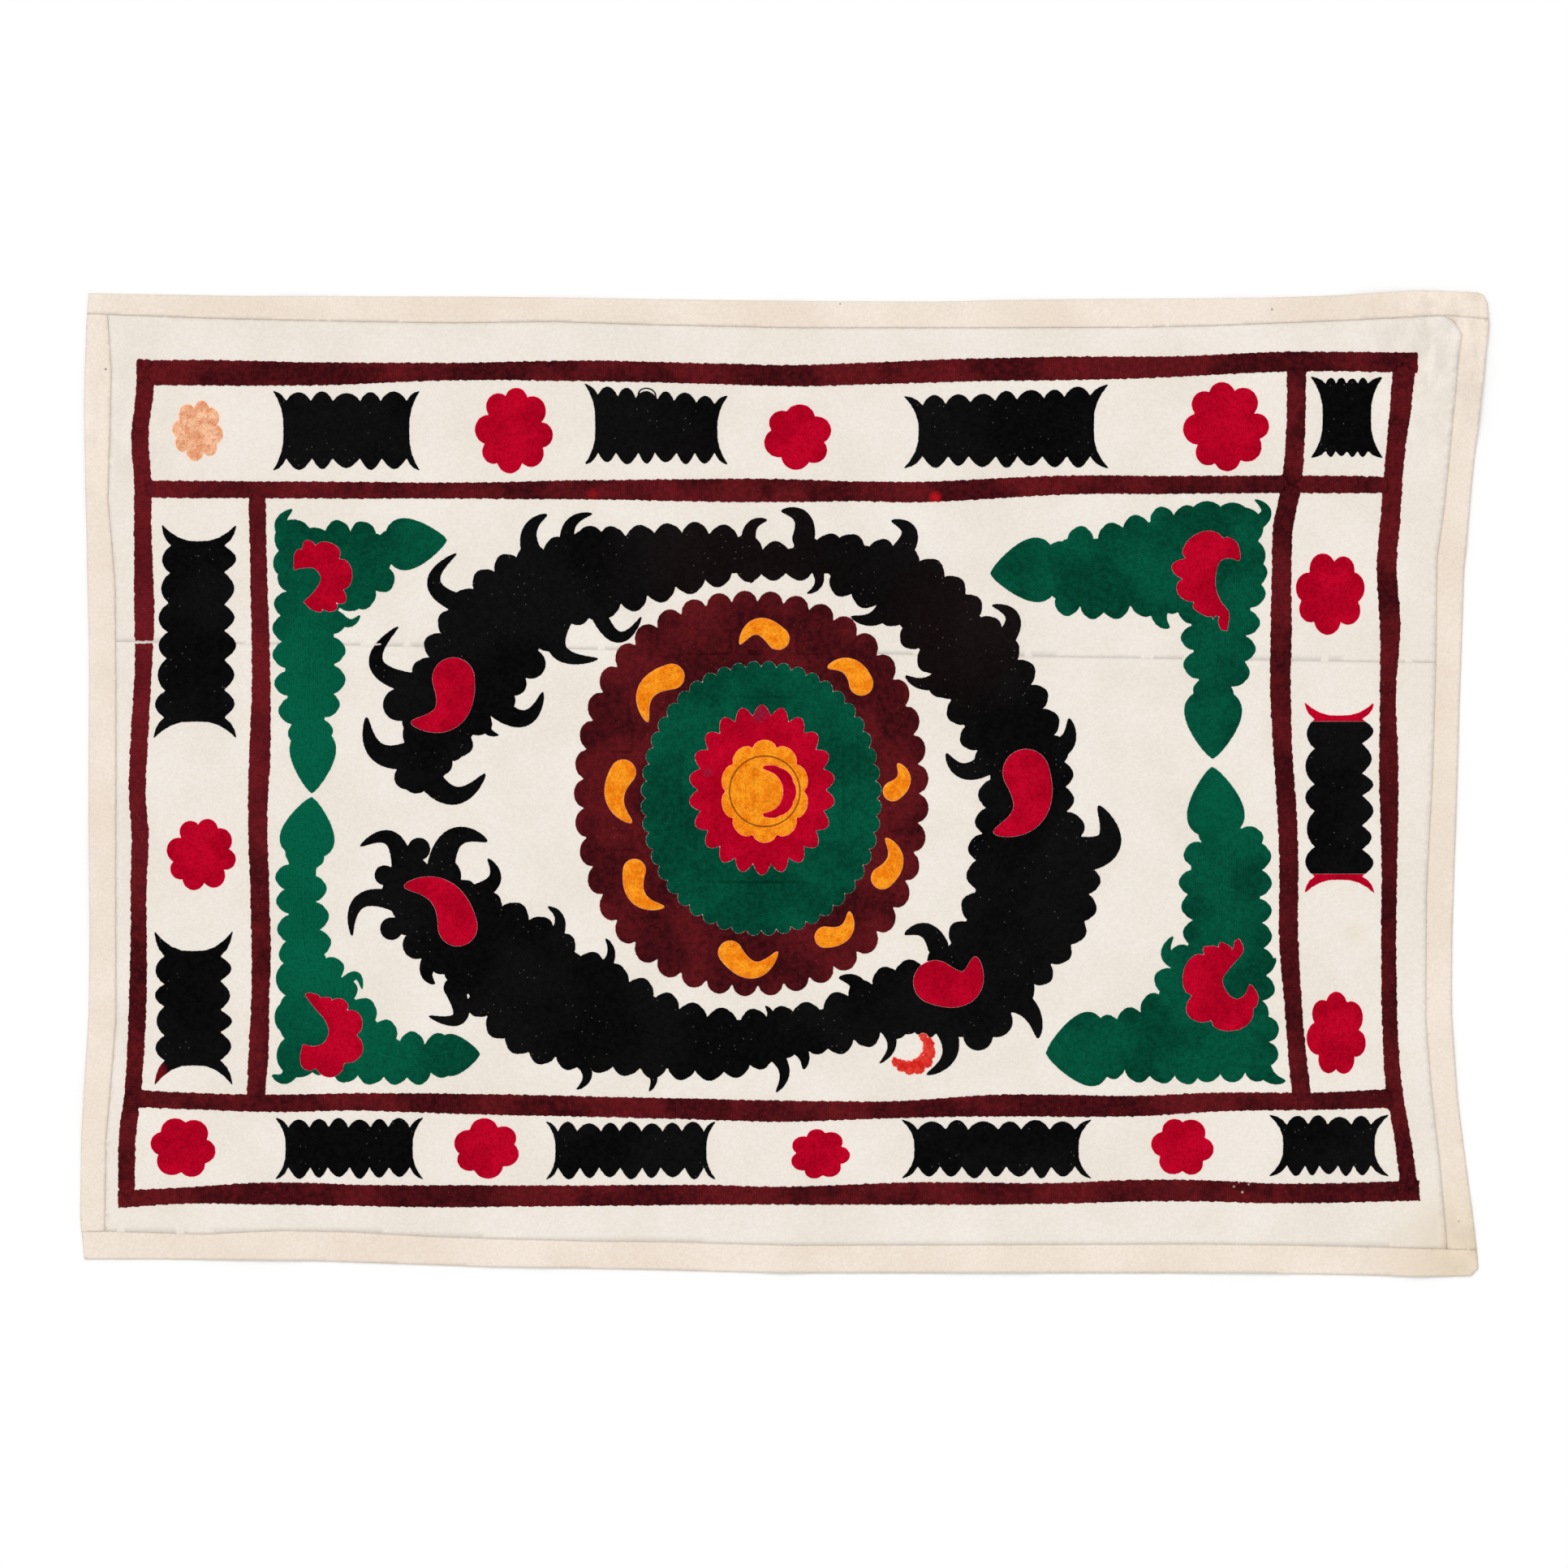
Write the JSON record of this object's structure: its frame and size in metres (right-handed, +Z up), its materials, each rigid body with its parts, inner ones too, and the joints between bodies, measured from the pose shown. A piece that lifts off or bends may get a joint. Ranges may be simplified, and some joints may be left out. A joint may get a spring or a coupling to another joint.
{
  "type": "embroidered tablecloth",
  "caption": "Rectangular cotton tablecloth lying flat, with dense thread embroidery: a scalloped medallion, a curling vine, corner sprays and a barred border of flowers and blocks.",
  "frame": {"origin": "centre of the cloth's outline, on the surface it lies on", "axes": "+X along the long side, +Y along the short side towards the edge at the top of the picture, +Z up out of the embroidered face"},
  "size_m": [2, 1.4, 0.0063],
  "materials": {
    "ground_cotton": "matt plain-woven cotton",
    "band_cotton": "matt plain-woven cotton",
    "maroon_thread": "matt chain-stitched thread",
    "red_thread": "matt chain-stitched thread",
    "green_thread": "matt chain-stitched thread",
    "black_thread": "matt chain-stitched thread",
    "orange_thread": "matt chain-stitched thread",
    "peach_thread": "matt chain-stitched thread",
    "coral_thread": "matt chain-stitched thread"
  },
  "bodies": {
    "root": {"band_top": "band_cotton", "band_bottom": "band_cotton", "band_left": "band_cotton", "band_right": "band_cotton", "ground_upper": "ground_cotton", "ground_lower": "ground_cotton", "frame_lattice": "maroon_thread", "flower_01": "peach_thread", "flower_02": "red_thread", "flower_03": "red_thread", "flower_04": "red_thread", "flower_05": "red_thread", "flower_06": "red_thread", "flower_07": "red_thread", "flower_08": "red_thread", "flower_09": "red_thread", "flower_10": "red_thread", "flower_11": "red_thread", "block_01": "black_thread", "block_02": "black_thread", "block_03": "black_thread", "block_04": "black_thread", "block_05": "black_thread", "block_06": "black_thread", "block_07": "black_thread", "block_red_end_01": "red_thread", "block_red_end_02": "red_thread", "block_08": "black_thread", "block_09": "black_thread", "block_10": "black_thread", "block_11": "black_thread", "corner_spray_top_left": "green_thread", "corner_sprig_top_left": "red_thread", "corner_spray_top_right": "green_thread", "corner_sprig_top_right": "red_thread", "corner_spray_bottom_right": "green_thread", "corner_sprig_bottom_right": "red_thread", "corner_spray_bottom_left": "green_thread", "corner_sprig_bottom_left": "red_thread", "vine": "black_thread", "vine_paisley_01": "red_thread", "vine_paisley_02": "red_thread", "vine_paisley_03": "red_thread", "vine_paisley_04": "red_thread", "unfinished_crescent": "coral_thread", "medallion_outer_ring": "maroon_thread", "medallion_green_ring": "green_thread", "medallion_red_ring": "red_thread", "medallion_rosette": "orange_thread", "medallion_crescent": "red_thread", "medallion_paisley_01": "orange_thread", "medallion_paisley_02": "orange_thread", "medallion_paisley_03": "orange_thread", "medallion_paisley_04": "orange_thread", "medallion_paisley_05": "orange_thread", "medallion_paisley_06": "orange_thread", "medallion_paisley_07": "orange_thread", "medallion_paisley_08": "orange_thread", "medallion_paisley_09": "orange_thread"}
  },
  "joints": []
}
